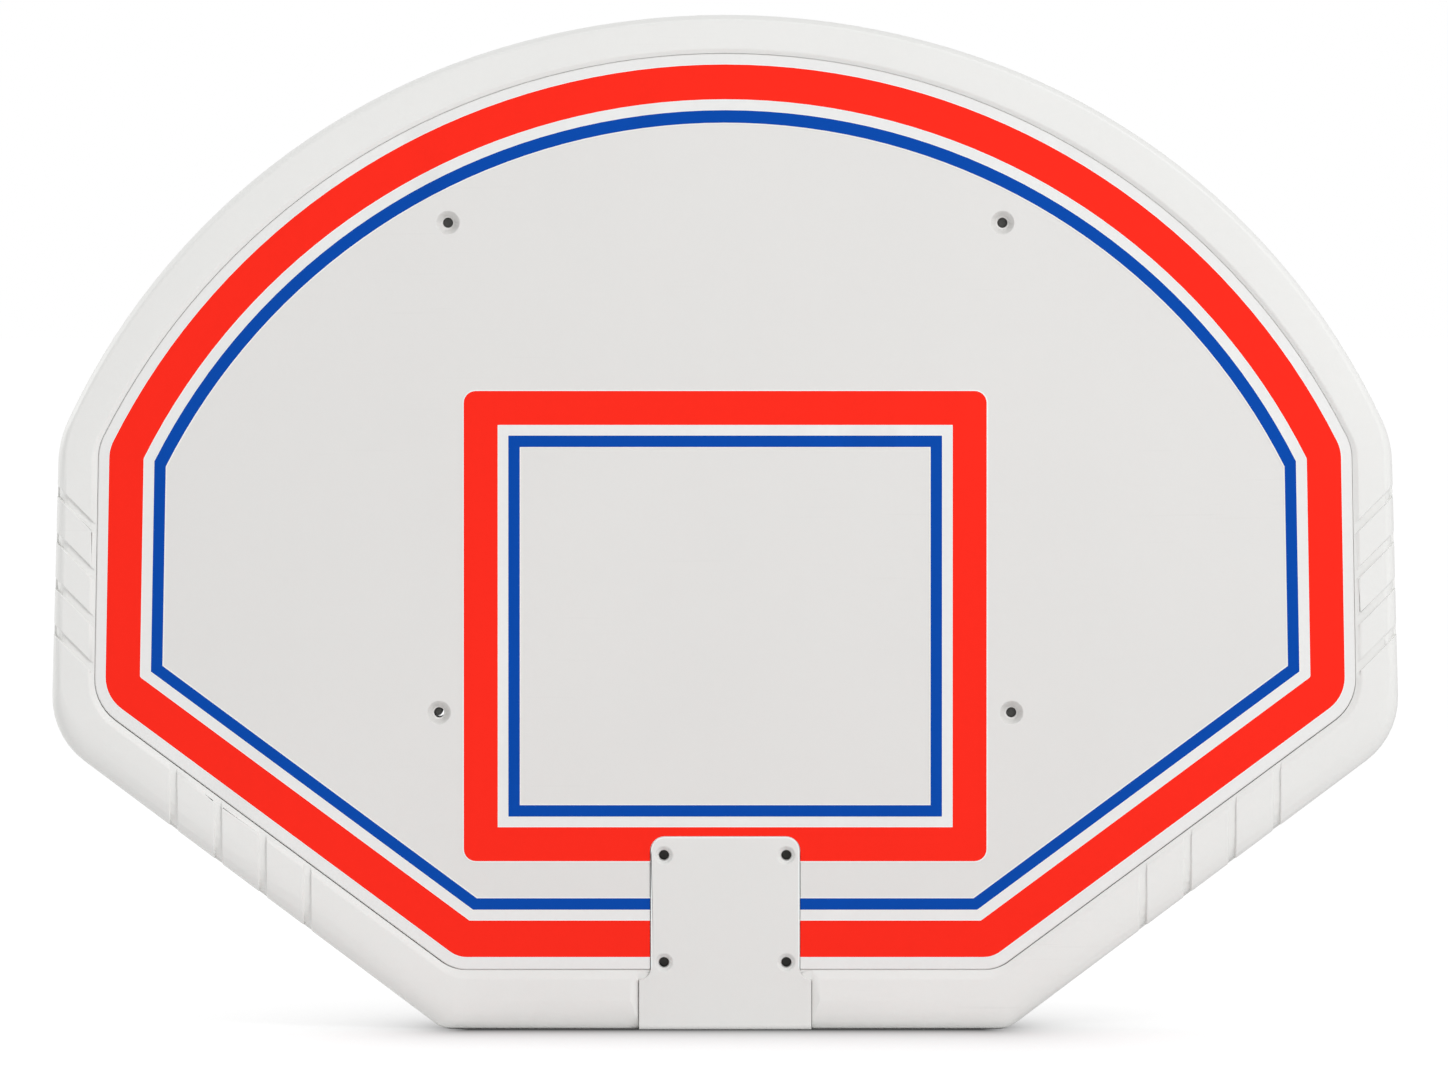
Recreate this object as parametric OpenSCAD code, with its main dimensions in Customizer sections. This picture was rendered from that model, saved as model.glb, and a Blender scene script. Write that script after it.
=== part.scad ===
// Fan-shaped basketball backboard, bare, as it is before a rim or a pole bracket is bolted on.
// A moulded frame and a ribbed rear shell screw together from behind. The face panel is bonded
// into the frame, and a rim block fills a notch in its lower edge.
// X runs across the board, Z runs up from its bottom edge, and its face looks towards -Y.

/* [Frame outline] */
// Width across the hips, the widest part of the frame
board_w = 1117.6; // [1080:0.1:1150]
// Height from the bottom edge to the crown
board_h = 842; // [820:0.5:870]
// Depth from the rim face to the back
board_d = 63.5; // [60:0.5:80]
// Radius of the middle stretch of the crown
crown_r = 648; // [630:0.5:670]
// How much the radius on either side of that stretch exceeds half of the width
flank_more = 18.7; // [8:0.1:30]
// Angle off the middle at which the two crown radii meet
crown_a = 18.6; // [12:0.1:25]
// Lean of the two sides, which spread towards the hips
side_lean = 1.5; // [0:0.1:3]
// Height at which the straight sides end
hip_z = 277; // [260:1:300]
// Slope of the two lower edges
low_a = 36.8; // [35:0.1:39]
// Width of the bottom edge between its sharp corners
foot_w = 469.2; // [450:0.1:490]
// Corner radius at the shoulders
shoulder_r = 87; // [50:1:100]
// Corner radius at the hips
hip_r = 66; // [50:1:80]
// Corner radius at the feet
foot_r = 26; // [24:0.5:35]

/* [Rim of the frame] */
// Width of the rim at the crown
rim_top_w = 32.3; // [28:0.1:36]
// Width of the rim at the sides
rim_side_w = 35.5; // [32:0.1:40]
// Width of the rim at the middle of the lower edges
rim_low_w = 44.3; // [42:0.1:50]
// Width of the rim along the bottom
rim_foot_w = 49.8; // [48:0.1:56]
// How far the front edge rolls in at the crown
roll_top_w = 6; // [2:0.5:8]
// How far the front edge rolls in at the sides
roll_side_w = 8; // [3:0.5:10]
// How far the front edge rolls in along the lower edges
roll_low_w = 24; // [8:0.5:27]
// How far the front edge rolls in along the bottom
roll_foot_w = 24; // [10:0.5:27]
// Depth over which the front edge rolls back
roll_d = 14; // [8:0.5:18]
// Wall of the frame
frame_wall = 4.2; // [3.6:0.1:5]
// Height of the parting line in front of or behind the middle of the depth
parting_y = 2; // [-4:0.5:6]

/* [Grips] */
// Slanted grooves on each side
grip_count = 4; // [1:1:5]
// Distance between slanted grooves, up the side
grip_pitch = 39.2; // [34:0.1:42]
// Height of the lowest slanted groove, at the middle of the rim
grip_z = 316.5; // [310:0.5:330]
// Slope of the slanted grooves
grip_a = 45; // [35:1:55]
// Upright grooves in each lower edge
low_count = 4; // [1:1:5]
// Distance between upright grooves, across the board
low_pitch = 37; // [32:0.5:40]
// Distance of the innermost upright groove from the middle
low_x = 346.8; // [340:0.1:352]
// Width of every groove
groove_w = 6.2; // [4:0.1:7]
// Depth of every groove
groove_d = 2.2; // [1.5:0.1:2.5]
// How far back the grooves run round the edge
groove_run = 22; // [18:0.5:28]
// How far the slanted grooves run on past the rim's width, at each end
grip_past = 10; // [6:0.5:14]

/* [Face panel] */
// Thickness of the panel
panel_t = 4; // [3:0.1:5]
// How far the panel's face lies behind the rim face
panel_drop = 2; // [1:0.1:3]
// How much the radius of the panel's crown exceeds half of the panel's width
panel_more = 54.1; // [45:0.1:65]
// Lean of the panel's two sides
panel_lean = 1; // [0:0.1:2]
// Slope of the panel's two lower edges
panel_low_a = 36.5; // [35:0.1:38]
// Corner radius of the panel at the shoulders
panel_shoulder_r = 42; // [20:1:50]
// Corner radius of the panel at the hips
panel_hip_r = 42; // [34:1:50]
// Corner radius of the panel at the feet
panel_foot_r = 34; // [26:1:40]
// Gap between the panel and the frame along the lower edges
low_gap_w = 0.8; // [0.3:0.1:1.6]
// Slope from that gap up to the rim face at the crown
slope_top_w = 3.7; // [2:0.1:6]
// That slope at the sides
slope_side_w = 4.7; // [2:0.1:6]
// That slope along the lower edges
slope_low_w = 5.6; // [3:0.1:8]
// That slope along the bottom
slope_foot_w = 8; // [4:0.1:10]
// How far back that slope goes
slope_d = 2.6; // [1.5:0.1:3.2]
// Width of the seat under the panel's edge
seat_w = 26; // [24:0.5:30]
// Thickness of the seat
seat_t = 3.2; // [2.6:0.1:4]
// Thickness of the bonding tape
tape_t = 1; // [0.5:0.1:2]
// Width of the bonding tape
tape_w = 19; // [10:0.5:20]
// Distance from the panel's edge to the tape
tape_in = 3; // [1:0.5:5]

/* [Printed film] */
// Margin between the panel's edge and the red stripe, at the crown and the sides
margin_w = 9; // [6:0.1:12]
// Margin along the lower edges and the bottom
margin_low_w = 10.4; // [6:0.1:14]
// Red stripe at the crown
red_arc_w = 28.9; // [24:0.1:34]
// Red stripe at the sides
red_side_w = 28.5; // [24:0.1:34]
// Red stripe along the lower edges and the bottom
red_low_w = 30.3; // [24:0.1:34]
// White gap between the stripes
gap_w = 9; // [6:0.1:14]
// Blue stripe at the crown
blue_arc_w = 10.4; // [6:0.1:14]
// Blue stripe everywhere else
blue_w = 9.5; // [6:0.1:14]
// White film showing inside the border's stripes and round the target's
film_edge_w = 1.2; // [0.5:0.1:3]
// Bare panel left outside the border's film
film_rest_w = 0.8; // [0.6:0.1:4]
// Thickness of the film
film_t = 0.25; // [0.15:0.01:0.4]
// Thickness of the ink layer of a stripe
ink_t = 0.15; // [0.1:0.01:0.3]

/* [Target] */
// Width of the target over its red frame
target_w = 433.8; // [400:0.1:460]
// Height of the target over its red frame
target_h = 390.2; // [360:0.1:420]
// Height of the target's lower edge
target_z = 139.8; // [132:0.1:146]
// Outer corner radius of the target
target_r = 10; // [4:0.5:16]
// Red frame of the target
target_red_w = 28.2; // [24:0.1:32]
// White gap inside the red frame
target_gap_w = 8.8; // [6:0.1:12]

/* [Rim block] */
// Width of the block where it stands in the panel's notch
block_w = 123.6; // [118:0.1:128]
// Height of the block's top edge
block_h = 159.9; // [154:0.1:166]
// Width of the block's foot
block_foot_w = 143.1; // [138:0.1:150]
// Height of the foot
block_foot_h = 41.5; // [36:0.5:42]
// Radius of the block's top corners
block_r = 11.6; // [6:0.1:16]
// Thickness of the block
block_t = 17; // [14:0.5:20]
// Radius of the block's lower front edge
block_edge_r = 4; // [2:0.5:12]
// Room beside the block's foot, up to the ends of the rim
block_room = 7; // [4:0.5:10]
// How deep those ends lie beside the foot, below the rim's face
end_d = 3; // [2:0.1:4]

/* [Bolt holes] */
// Rim bolts, hole to hole across
rim_dx = 101.6; // [98:0.1:106]
// Rim bolts, hole to hole up
rim_dz = 88.9; // [84:0.1:92]
// Height of the middle of the rim bolts
rim_z = 100.3; // [98:0.1:102]
// Upper bracket bolts, hole to hole
bracket_top_dx = 460; // [440:0.5:480]
// Lower bracket bolts, hole to hole
bracket_low_dx = 475; // [460:0.5:490]
// Upper bracket bolts to lower bracket bolts
bracket_dz = 406.4; // [390:0.1:420]
// Height of the middle of the bracket bolts
bracket_z = 466.3; // [455:0.1:475]
// Diameter of every bolt hole
bolt_hole_d = 8.4; // [7.2:0.1:9]
// Mouth of a bracket dimple
dimple_d = 19.5; // [16:0.1:24]
// Floor of a bracket dimple
dimple_floor_d = 11; // [10:0.1:13]
// Depth of a bracket dimple below the panel's face
dimple_depth = 9; // [6:0.5:11]
// Mouth of the shallow dimple round a rim bolt hole
rim_dimple_d = 15; // [13:0.1:18]
// Floor of the shallow dimple
rim_dimple_floor_d = 10.4; // [9.4:0.1:12]
// Depth of the shallow dimple
rim_dimple_depth = 3; // [1:0.1:4]

/* [Steel] */
// Outer diameter of the steel sleeves
sleeve_d = 12.7; // [11.5:0.1:14]
// Wall of the bosses round the sleeves
sleeve_boss_wall = 4; // [3:0.5:6]
// Flange of a bracket sleeve
sleeve_flange_d = 24; // [20:0.5:28]
// Thickness of that flange
sleeve_flange_t = 1.5; // [1:0.1:2.5]
// Width of the backing plate
plate_w = 140; // [130:1:150]
// Height of the backing plate
plate_h = 125; // [118:1:130]
// Thickness of the backing plate
plate_t = 3; // [2:0.1:4]
// Corner radius of the backing plate
plate_r = 8; // [3:0.5:12]

/* [Rear shell] */
// Wall of the rear shell
shell_wall = 3; // [2.4:0.1:4]
// Radius of the shell's back edge
shell_edge_r = 6; // [3:0.5:8]
// Thickness of the inner ribs
rib_t = 3; // [2:0.1:4]
// Depth of the panels sunk into the back
field_d = 5; // [3:0.5:6]
// Corner radius of those panels
field_r = 14; // [6:1:20]
// Width of the raised bands between them
band_w = 56; // [46:1:66]
// Distance from the inner edge of the frame's seat to those panels
field_in = 4; // [0:1:10]
// Raised band on either side of the backing plate
plate_band_w = 20; // [12:1:30]
// Land under the backing plate, past its edge
plate_land_w = 5; // [3:0.5:10]
// Spaces between level ribs, from one row of bracket bolts to the other
rib_rows = 4; // [2:1:6]
// Spaces between upright ribs, from the middle to the bracket bolts
rib_columns = 2; // [1:1:3]
// Height of the lap that locates the shell in the frame
lap_h = 5; // [3:0.5:7]
// Thickness of that lap
lap_t = 2; // [1.5:0.1:3]

/* [Screws] */
// Diameter of the long screws' shanks
screw_d = 4.8; // [4:0.1:5.2]
// Diameter of every screw's head
screw_head_d = 9; // [8:0.1:9.6]
// Height of every screw's head
screw_head_h = 2.6; // [2:0.1:3.2]
// How deep a screw bites into the plastic
screw_bite = 12; // [8:0.5:14]
// Boss round a screw
boss_d = 14; // [13:0.5:16]
// Web left under a screw's head
boss_web = 4; // [3:0.5:6]
// Angle off the middle of the first screw on each side of the crown
arc_screw_a = 9; // [5:1:12]
// Angle from one screw of the crown to the next
arc_screw_step = 18; // [14:1:20]
// Height of the lower screw at each side
side_screw_z = 330; // [320:5:360]
// Lower to upper screw at each side
side_screw_pitch = 100; // [60:5:110]
// Distance from the middle of the inner screw along each lower edge
low_screw_x = 290; // [270:5:300]
// Inner to outer screw along each lower edge, measured across the board
low_screw_pitch = 130; // [100:5:140]
// Distance from the middle of the screws over the bottom edge
foot_screw_x = 130; // [110:1:180]
// Distance from the middle of the screws in the rim block
block_screw_x = 30; // [20:1:36]
// Rim block screws, hole to hole up
block_screw_dz = 90; // [60:1:110]
// Distance from the sides of the backing plate to its screws
plate_screw_in = 9; // [8:0.5:12]

/* [Clearances] */
// Gap between the panel and the rim block
block_gap = 0.6; // [0.3:0.1:1.2]
// Gap between moulded parts that fit together
fit_gap = 0.3; // [0.2:0.05:0.6]
// Gap round a sleeve or a screw shank in its hole
shank_gap = 0.2; // [0.1:0.05:0.4]
// Gap round a screw head in its well
head_gap = 0.5; // [0.3:0.1:1]
// Room past the tip of a screw
tip_gap = 1; // [0.5:0.5:3]

/* [Hidden] */
eps = 0.01;
far = 400;
hole_fn = 48;
soft_fn = 32;

// Depths, from the rim face at the front to the back
front_y = -board_d / 2;
rear_y = board_d / 2;
panel_y = front_y + panel_drop;
panel_back_y = panel_y + panel_t;
seat_y = panel_back_y + tape_t;
seat_back_y = seat_y + seat_t;
block_back_y = front_y + block_t;
tray_back_y = block_back_y + seat_t;
// The recess's walls start inside the frame's wall, behind the floors of its grooves
lining_y = front_y + (frame_wall + groove_d) / 2;
dimple_floor_y = panel_y + dimple_depth;
cup_back_y = dimple_floor_y + panel_t;
film_y = panel_y - film_t;
ink_y = film_y - ink_t;
plate_y = rear_y - plate_t;
head_seat_y = parting_y + boss_web;

// Cuts run this far past the face they open, and sloped ones are wider there by these factors
over = 1;
past_slope = (slope_d + over) / slope_d;
past_end = (end_d + over) / end_d;
end_x = block_foot_w / 2 + fit_gap;

sleeve_boss_d = sleeve_d + 2 * sleeve_boss_wall;
grip_x = board_w / 2 - rim_side_w / 2;
grip_len = (rim_side_w + 2 * grip_past) / cos(grip_a);
screw_in = seat_w / 2;
column_x = (bracket_top_dx + bracket_low_dx) / 4;
row_z = [bracket_z - bracket_dz / 2, bracket_z + bracket_dz / 2];

// A side of the outline is the line n.p = c, so moving it inwards takes d from c
foot_n = [0, -1];
function low_n(slope) = [sin(slope), -cos(slope)];
function side_n(lean) = [cos(lean), sin(lean)];
function side_c(half, lean) = half * cos(lean) + hip_z * sin(lean);
flank_r = board_w / 2 + flank_more;
panel_r = board_w / 2 - rim_side_w + panel_more;
low_c = foot_w / 2 * sin(low_a);
hip_corner = meet(low_n(low_a), low_c, side_n(side_lean), side_c(board_w / 2, side_lean));
low_mid = ([foot_w / 2, 0] + hip_corner) / 2;
panel_low_c = low_n(panel_low_a) * low_mid - rim_low_w;
panel_side_c = side_c(board_w / 2 - rim_side_w, panel_lean);

// Outlines: top, crown radii, side and its lean, lower edge and its slope, bottom edge, corner radii
frame_line = [board_h, crown_r, flank_r, side_c(board_w / 2, side_lean), side_lean,
    low_c, low_a, 0, shoulder_r, hip_r, foot_r];
panel_line = [board_h - rim_top_w, panel_r, panel_r, panel_side_c, panel_lean,
    panel_low_c, panel_low_a, rim_foot_w, panel_shoulder_r, panel_hip_r, panel_foot_r];

// Insets are [crown, side, lower edge, bottom edge]
function all_round(d) = [d, d, d, d];
roll_w = [roll_top_w, roll_side_w, roll_low_w, roll_foot_w];
panel_gap = [fit_gap, fit_gap, low_gap_w, fit_gap];
slope_w = [slope_top_w, slope_side_w, slope_low_w, slope_foot_w];
red_in = [margin_w, margin_w, margin_low_w, margin_low_w];
red_out = red_in + [red_arc_w, red_side_w, red_low_w, red_low_w];
blue_in = red_out + all_round(gap_w);
blue_out = blue_in + [blue_arc_w, blue_w, blue_w, blue_w];

sharp_r = 0.4;
corner_steps = 7;
flank_steps = 24;
crown_steps = 10;

function meet(n1, c1, n2, c2) =
    let (det = n1[0] * n2[1] - n1[1] * n2[0])
    [(c1 * n2[1] - c2 * n1[1]) / det, (n1[0] * c2 - n2[0] * c1) / det];

// Points on an arc of n steps about c, from a0 to a1, leaving out the first k
function arc(c, r, a0, a1, n, k = 0) =
    [for (i = [k:n]) c + r * [cos(a0 + (a1 - a0) * i / n), sin(a0 + (a1 - a0) * i / n)]];

// Right half of an outline, from the bottom corner up to the crown
function half_line(o, d) =
    let (
        n_s = side_n(o[4]),
        n_l = low_n(o[6]),
        up = [-n_s[1], n_s[0]],
        c_s = o[3] - d[1],
        c_l = o[5] - d[2],
        c_f = -o[7] - d[3],
        r_sh = max(o[8] - (d[0] + d[1]) / 2, sharp_r),
        r_hip = max(o[9] - (d[1] + d[2]) / 2, sharp_r),
        r_ft = max(o[10] - (d[2] + d[3]) / 2, sharp_r),
        crown_c = [0, o[0] - o[1]],
        flank_c = crown_c + (o[1] - o[2]) * [sin(crown_a), cos(crown_a)],
        ft_c = meet(foot_n, c_f - r_ft, n_l, c_l - r_ft),
        hip_c = meet(n_l, c_l - r_hip, n_s, c_s - r_hip),
        w = n_s * (c_s - r_sh) - flank_c,
        q = o[2] - d[0] - r_sh,
        rise = -w * up + sqrt(pow(w * up, 2) - w * w + q * q),
        sh_c = n_s * (c_s - r_sh) + up * rise,
        sh_a = atan2(sh_c[1] - flank_c[1], sh_c[0] - flank_c[0])
    )
    concat(
        arc(ft_c, r_ft, -90, o[6] - 90, corner_steps),
        arc(hip_c, r_hip, o[6] - 90, o[4], corner_steps),
        arc(sh_c, r_sh, o[4], sh_a, corner_steps),
        arc(flank_c, o[2] - d[0], sh_a, 90 - crown_a, flank_steps, 1),
        arc(crown_c, o[1] - d[0], 90 - crown_a, 90, crown_steps, 1));

// Whole outline o, with each side moved in by d
function outline(o, d) =
    let (h = half_line(o, d), n = len(h))
    concat(h, [for (i = [n - 2:-1:0]) [-h[i][0], h[i][1]]]);

// Outline of the rim block, grown by g but still standing on the bottom edge
function block_line(g) =
    let (
        foot_x = block_foot_w / 2,
        cove = (block_foot_w - block_w) / 2,
        side = concat(
            [[foot_x + g, 0], [foot_x + g, block_foot_h + g]],
            arc([foot_x, block_foot_h + cove], cove - g, 270, 180, corner_steps),
            arc([block_w / 2 - block_r, block_h - block_r], block_r + g, 0, 90, corner_steps)),
        n = len(side)
    )
    concat(side, [for (i = [n - 1:-1:0]) [-side[i][0], side[i][1]]]);

// Extrudes a flat shape drawn in X and Z from depth y0 back to depth y1
module slab(y0, y1) translate([0, y1, 0]) rotate([90, 0, 0]) linear_extrude(height = y1 - y0) children();

module box(w, z0, z1) translate([-w / 2, z0]) square([w, z1 - z0]);

module bar(y0, y1, d) translate([0, y1, 0]) rotate([90, 0, 0]) cylinder(h = y1 - y0, d = d, $fn = hole_fn);

// Rectangle about the origin with round corners
module round_box(w, h, r) polygon([
    for (q = [0:3]) each arc([(q == 0 || q == 3 ? 1 : -1) * (w / 2 - r), (q < 2 ? 1 : -1) * (h / 2 - r)],
        r, 90 * q, 90 * q + 90, corner_steps)
]);

// Solid through closed rings of equal count, each ring at its own depth
module loft(rings, depths) {
    n = len(rings[0]);
    last = len(rings) - 1;
    points = [for (k = [0:last]) for (p = rings[k]) [p[0], depths[k], p[1]]];
    walls = [for (k = [0:last - 1]) for (i = [0:n - 1])
        let (a = k * n + i, b = k * n + (i + 1) % n) each [[a, b, b + n], [a, b + n, a + n]]];
    front = [[for (i = [n - 1:-1:0]) i]];
    back = [[for (i = [0:n - 1]) last * n + i]];
    polyhedron(points = points, faces = concat(front, walls, back), convexity = 8);
}

// Body of the frame with its rolled front edge, shrunk by g
roll_steps = [90, 67.5, 45, 22.5, 0];
module rolled_body(g, y_end) {
    rings = [for (a = roll_steps) outline(frame_line, roll_w * (1 - cos(a)) + all_round(g))];
    depths = [for (a = roll_steps) front_y + g + roll_d * (1 - sin(a))];
    loft(concat(rings, [outline(frame_line, all_round(g))]), concat(depths, [y_end]));
}

// Slanted grooves at the sides and upright ones in the lower edges
module grooves() {
    slab(front_y - over, front_y + groove_run) for (s = [-1, 1]) {
        for (i = [0:grip_count - 1])
            translate([s * grip_x, grip_z + i * grip_pitch])
                rotate(s * grip_a) square([grip_len, groove_w], center = true);
        for (i = [0:low_count - 1])
            translate([s * (low_x + i * low_pitch) - groove_w / 2, -eps]) square([groove_w, hip_z]);
    }
}

// Screws that join the two shells, in the seat under the panel's edge
module at_shell_screws() {
    r = panel_r - screw_in;
    z0 = board_h - rim_top_w - panel_r;
    c_s = panel_side_c - screw_in;
    c_l = panel_low_c - screw_in;
    for (s = [-1, 1]) {
        for (a = [0, arc_screw_step, 2 * arc_screw_step])
            translate([s * r * sin(arc_screw_a + a), 0, z0 + r * cos(arc_screw_a + a)]) children();
        for (z = [side_screw_z, side_screw_z + side_screw_pitch])
            translate([s * (c_s - z * sin(panel_lean)) / cos(panel_lean), 0, z]) children();
        for (x = [low_screw_x, low_screw_x + low_screw_pitch])
            translate([s * x, 0, (x * sin(panel_low_a) - c_l) / cos(panel_low_a)]) children();
        translate([s * foot_screw_x, 0, rim_foot_w + screw_in]) children();
    }
}

// Bolt places: i counts from the upper left to the lower right
function bracket_at(i) = [(i % 2 == 0 ? -1 : 1) * (i < 2 ? bracket_top_dx : bracket_low_dx) / 2,
    0, bracket_z + (i < 2 ? 1 : -1) * bracket_dz / 2];
function rim_at(i) = [(i % 2 == 0 ? -1 : 1) * rim_dx / 2, 0, rim_z + (i < 2 ? 1 : -1) * rim_dz / 2];
module at_brackets() for (i = [0:3]) translate(bracket_at(i)) children();
module at_rim_bolts() for (i = [0:3]) translate(rim_at(i)) children();

// Short screws that hold the block to the frame and the plate to the shell
module at_block_screws() for (x = [-1, 1], z = [-1, 1])
    translate([x * block_screw_x, 0, block_h / 2 + z * block_screw_dz / 2]) children();
module at_plate_screws() for (x = [-1, 1])
    translate([x * (plate_w / 2 - plate_screw_in), 0, rim_z]) children();

module front_frame() color([0.93, 0.93, 0.92]) difference() {
    union() {
        difference() {
            rolled_body(0, parting_y);
            difference() {
                grooves();
                rolled_body(groove_d, far);
            }
            rolled_body(frame_wall, far);
        }
        intersection() {
            union() {
                // Walls of the panel's recess and its seat
                slab(lining_y, seat_back_y)
                    polygon(outline(panel_line, -panel_gap - all_round(seat_t)));
                // Floor beside the block's foot, between the ends of the rim
                slab(lining_y, seat_back_y)
                    box(block_foot_w + 2 * (block_room + seat_t), 0, rim_foot_w);
                // Tray behind the block
                slab(seat_y, tray_back_y) polygon(block_line(seat_t));
            }
            rolled_body(0, parting_y);
        }
        at_shell_screws() bar(seat_y, parting_y, boss_d);
    }
    // Recess for the panel, and the slope round it
    slab(front_y - over, seat_y) polygon(outline(panel_line, -panel_gap));
    loft([outline(panel_line, -panel_gap - slope_w * past_slope), outline(panel_line, -panel_gap)],
        [front_y - over, front_y + slope_d]);
    // Open middle, all but the tray behind the block
    difference() {
        slab(front_y - over, far) polygon(outline(panel_line, all_round(seat_w)));
        slab(front_y - over, far) polygon(block_line(seat_t));
    }
    slab(front_y - over, block_back_y) translate([0, -over]) polygon(block_line(fit_gap));
    // The ends of the rim slope down to the block's foot
    translate([0, 0, -over]) linear_extrude(height = rim_foot_w + over) polygon([
        [-end_x - block_room * past_end, front_y - over], [end_x + block_room * past_end, front_y - over],
        [end_x, front_y + end_d], [-end_x, front_y + end_d]
    ]);
    at_shell_screws() bar(parting_y - screw_bite - tip_gap, far, screw_d);
    at_rim_bolts() bar(block_back_y - over, far, sleeve_d + 2 * shank_gap);
    at_block_screws() bar(block_back_y - over, far, screw_d + 2 * shank_gap);
}

// Panels sunk into the back, between raised bands that tie the bolt places together
module fields(grow) offset(r = field_r, $fn = soft_fn) offset(delta = grow - field_r) intersection() {
    polygon(outline(panel_line, all_round(seat_w + field_in)));
    difference() {
        square(4 * far, center = true);
        for (s = [-1, 1]) translate([s * column_x, board_h / 2]) square([band_w, 2 * board_h], center = true);
        for (z = row_z) translate([0, z]) square([2 * board_w, band_w], center = true);
        box(plate_w + 2 * plate_band_w, 0, row_z[0]);
    }
}

module ribs() difference() {
    slab(panel_back_y, rear_y - shell_wall / 2) intersection() {
        polygon(outline(panel_line, all_round(seat_w + boss_d / 2)));
        union() {
            for (i = [-2 * rib_columns:2 * rib_columns])
                translate([i * column_x / rib_columns, 0]) box(rib_t, 0, board_h);
            for (i = [-1:rib_rows])
                translate([0, row_z[0] + i * bracket_dz / rib_rows]) box(board_w, -rib_t / 2, rib_t / 2);
        }
    }
    slab(front_y, tray_back_y + fit_gap) polygon(block_line(seat_t + fit_gap));
}

module rear_shell() color([0.90, 0.90, 0.89]) difference() {
    union() {
        difference() {
            loft(
                [for (a = [0, 0, 30, 60, 90]) outline(frame_line, all_round(shell_edge_r * (1 - cos(a))))],
                concat([parting_y], [for (a = [0, 30, 60, 90]) rear_y - shell_edge_r * (1 - sin(a))]));
            slab(parting_y - over, rear_y - shell_wall) difference() {
                polygon(outline(frame_line, all_round(shell_wall)));
                fields(shell_wall);
            }
            slab(parting_y - over, rear_y - field_d - shell_wall)
                polygon(outline(frame_line, all_round(shell_wall)));
        }
        // Lap that slips inside the frame's wall, and the shoulder that carries it
        slab(parting_y - lap_h, parting_y + lap_t) difference() {
            polygon(outline(frame_line, all_round(frame_wall + fit_gap)));
            polygon(outline(frame_line, all_round(frame_wall + fit_gap + lap_t)));
        }
        slab(parting_y, parting_y + lap_t) difference() {
            polygon(outline(frame_line, all_round(shell_wall / 2)));
            polygon(outline(frame_line, all_round(frame_wall + fit_gap + lap_t)));
        }
        ribs();
        at_shell_screws() bar(parting_y, rear_y - shell_wall / 2, boss_d);
        at_brackets() bar(cup_back_y + sleeve_flange_t, rear_y - shell_wall / 2, sleeve_boss_d);
        at_rim_bolts() bar(tray_back_y, rear_y - shell_wall / 2, sleeve_boss_d);
        // Seat of the backing plate
        slab(plate_y - shell_wall, rear_y - shell_wall / 2)
            translate([0, rim_z])
                square([plate_w + 2 * plate_land_w, plate_h + 2 * plate_land_w], center = true);
    }
    slab(rear_y - field_d, far) fields(0);
    slab(plate_y, far) translate([0, rim_z]) round_box(plate_w + 2 * fit_gap, plate_h + 2 * fit_gap, plate_r);
    at_shell_screws() {
        bar(parting_y - over, far, screw_d + 2 * shank_gap);
        bar(head_seat_y, far, screw_head_d + 2 * head_gap);
    }
    at_brackets() {
        bar(front_y, far, sleeve_d + 2 * shank_gap);
        bar(front_y, cup_back_y + sleeve_flange_t, sleeve_flange_d + 2 * fit_gap);
    }
    at_rim_bolts() bar(front_y, far, sleeve_d + 2 * shank_gap);
    at_block_screws() bar(front_y, tray_back_y + screw_head_h + head_gap, screw_head_d + 2 * head_gap);
    at_plate_screws() bar(plate_y - shell_wall - over, far, screw_d);
}

module rim_block() color([0.92, 0.92, 0.91]) difference() {
    slab(front_y, block_back_y) polygon(block_line(0));
    // Rounded lower front edge
    translate([0, front_y, 0]) rotate([90, 0, 90]) difference() {
        translate([-over, -over, -block_foot_w])
            cube([block_edge_r + over, block_edge_r + over, 2 * block_foot_w]);
        translate([block_edge_r, block_edge_r, -block_foot_w])
            cylinder(h = 2 * block_foot_w, r = block_edge_r, $fn = hole_fn);
    }
    at_rim_bolts() {
        bar(front_y - over, far, bolt_hole_d);
        translate([0, front_y + rim_dimple_depth, 0]) rotate([90, 0, 0])
            cylinder(h = rim_dimple_depth + eps, d1 = rim_dimple_floor_d, d2 = rim_dimple_d, $fn = hole_fn);
    }
    at_block_screws() bar(block_back_y - screw_bite, far, screw_d);
}

module face_panel() color([0.89, 0.88, 0.87]) difference() {
    union() {
        slab(panel_y, panel_back_y) difference() {
            polygon(outline(panel_line, all_round(0)));
            translate([0, -over]) polygon(block_line(block_gap));
        }
        // Cups behind the bracket dimples
        at_brackets() translate([0, cup_back_y, 0]) rotate([90, 0, 0])
            cylinder(h = cup_back_y - panel_back_y + eps, d1 = dimple_floor_d + 2 * panel_t,
                d2 = dimple_d + 2 * panel_t, $fn = hole_fn);
    }
    at_brackets() {
        bar(panel_y - over, far, bolt_hole_d);
        translate([0, dimple_floor_y, 0]) rotate([90, 0, 0])
            cylinder(h = dimple_depth + eps, d1 = dimple_floor_d, d2 = dimple_d, $fn = hole_fn);
    }
}

// A band between two insets of the panel's edge, open where the rim block stands
module border_band(d_out, d_in, y0, y1) slab(y0, y1) difference() {
    polygon(outline(panel_line, d_out));
    polygon(outline(panel_line, d_in));
    translate([0, -over]) polygon(block_line(block_gap));
}

// A rectangular band of the target, notched by the rim block
module target_band(d_out, d_in, r, y0, y1) slab(y0, y1) difference() {
    translate([0, target_z + target_h / 2]) round_box(target_w - 2 * d_out, target_h - 2 * d_out, r);
    translate([0, target_z + target_h / 2]) square([target_w - 2 * d_in, target_h - 2 * d_in], center = true);
    polygon(block_line(block_gap));
}

target_blue_in = target_red_w + target_gap_w;

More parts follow.
